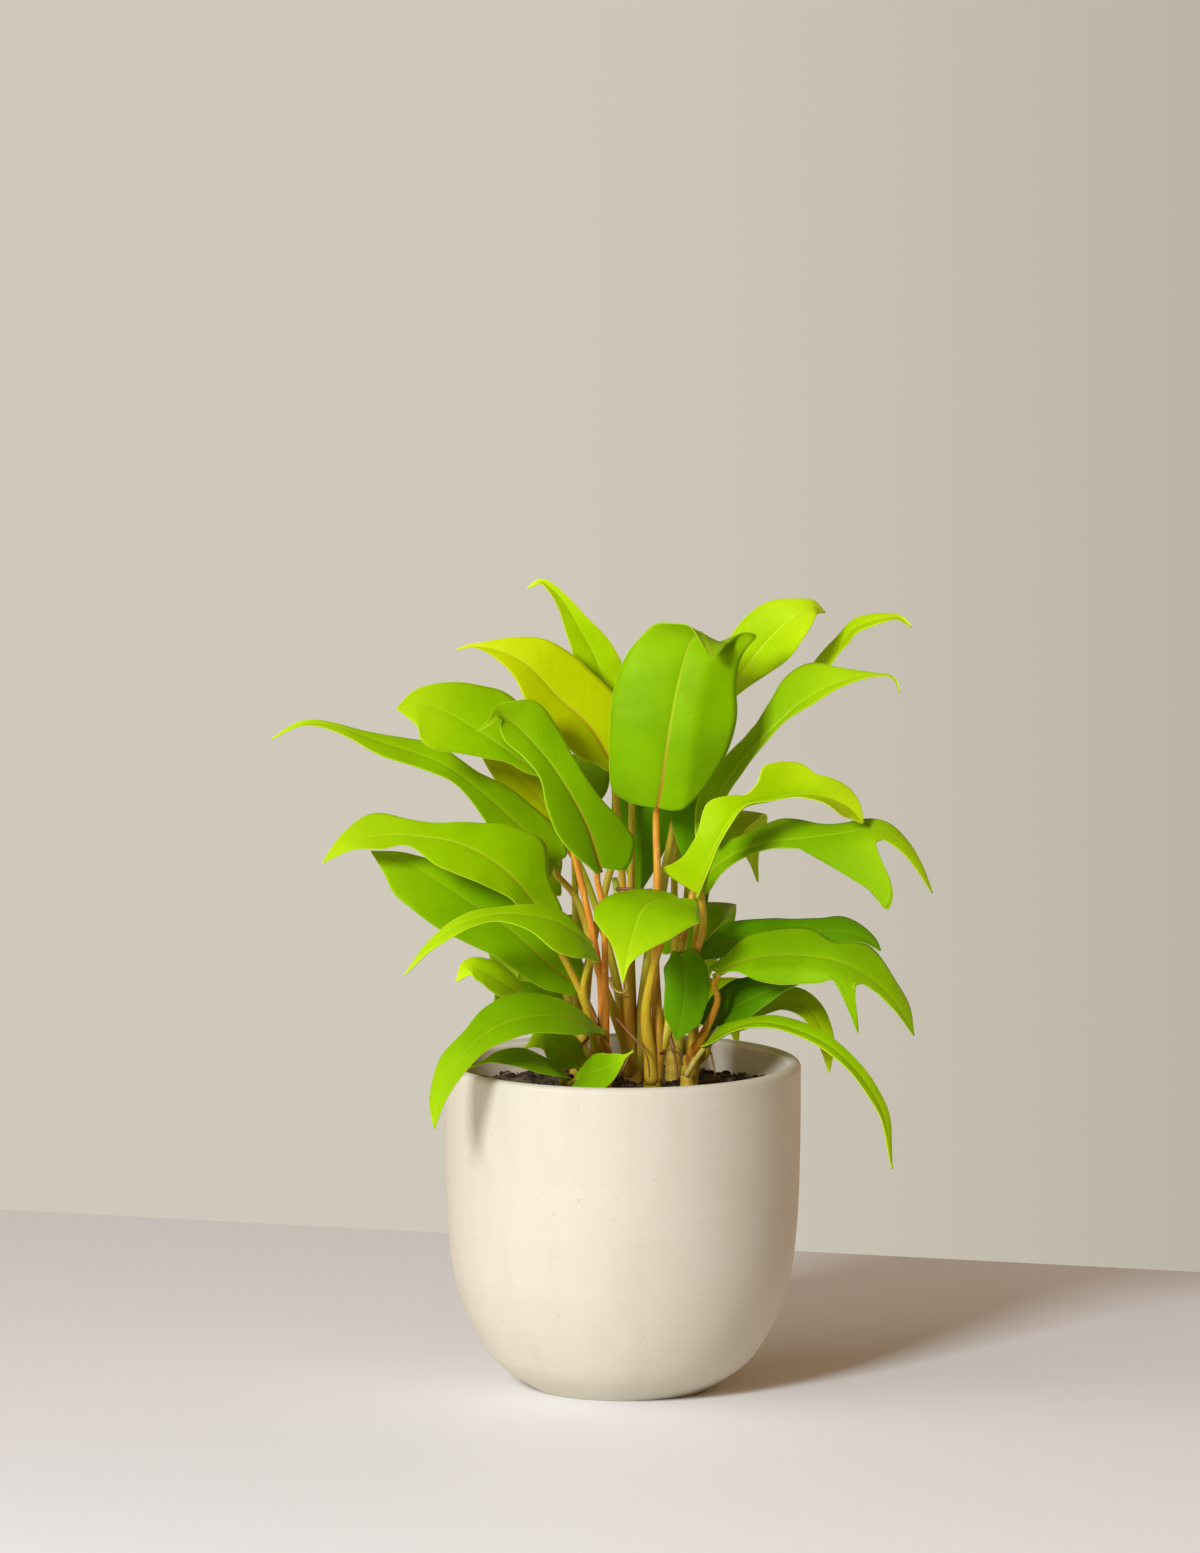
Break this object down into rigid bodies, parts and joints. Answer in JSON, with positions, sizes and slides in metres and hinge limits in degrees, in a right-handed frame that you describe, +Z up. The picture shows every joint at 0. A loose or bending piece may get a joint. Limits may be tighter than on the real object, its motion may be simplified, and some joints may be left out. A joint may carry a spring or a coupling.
{
  "type": "potted ceylon golden philodendron",
  "caption": "Lime-green aroid house plant with long-tipped, curling leaves on tan stalks, in soil in a round matt cream pot; stands on a table, shelf or floor.",
  "frame": {"origin": "centre of the pot's flat foot, on the surface that it stands on", "axes": "+Z up along the pot's axis; the plant's best side faces -Y"},
  "size_m": [0.3057, 0.2442, 0.3745],
  "materials": {
    "pot": "matt, unglazed, cream",
    "soil": "rough, crumbly, damp potting soil",
    "stalk": "satin plant tissue, tan to yellow-green",
    "leaf_lime": "satin leaf, lime green",
    "leaf_pale": "satin young leaf, bright yellow-green",
    "leaf_green": "satin mature leaf, mid green",
    "leaf_amber": "satin new leaf, golden yellow-green",
    "leaf_deep": "satin old leaf, dark green"
  },
  "bodies": {
    "root": {"leaf_behind_left": "leaf_deep", "leaf_behind_right": "leaf_deep", "leaf_broad": "leaf_green", "leaf_canopy": "leaf_deep", "leaf_curled": "leaf_green", "leaf_draped": "leaf_green", "leaf_drooping": "leaf_lime", "leaf_fan": "leaf_lime", "leaf_front": "leaf_green", "leaf_hanging": "leaf_deep", "leaf_hooked": "leaf_pale", "leaf_lobed": "leaf_lime", "leaf_plate": "leaf_lime", "leaf_reaching": "leaf_lime", "leaf_rear_1": "leaf_lime", "leaf_rear_2": "leaf_green", "leaf_rear_3": "leaf_pale", "leaf_rear_4": "leaf_lime", "leaf_rear_5": "leaf_green", "leaf_rear_6": "leaf_lime", "leaf_rear_7": "leaf_pale", "leaf_rear_8": "leaf_green", "leaf_rim_front": "leaf_green", "leaf_rim_inner": "leaf_lime", "leaf_rim_left": "leaf_green", "leaf_rim_right": "leaf_pale", "leaf_shaded": "leaf_deep", "leaf_skirt": "leaf_green", "leaf_spire": "leaf_pale", "leaf_spout": "leaf_lime", "leaf_top_left": "leaf_amber", "leaf_torch": "leaf_pale", "leaf_trailing": "leaf_lime", "leaf_tucked": "leaf_amber", "leaf_tuft": "leaf_pale", "leaf_waisted": "leaf_lime", "leaf_wisp": "leaf_pale", "pot": "pot", "soil": "soil", "stems_front": "stalk", "stems_left": "stalk", "stems_rear": "stalk", "stems_rear_left": "stalk", "stems_right": "stalk", "stems_tall": "stalk"}
  },
  "joints": []
}
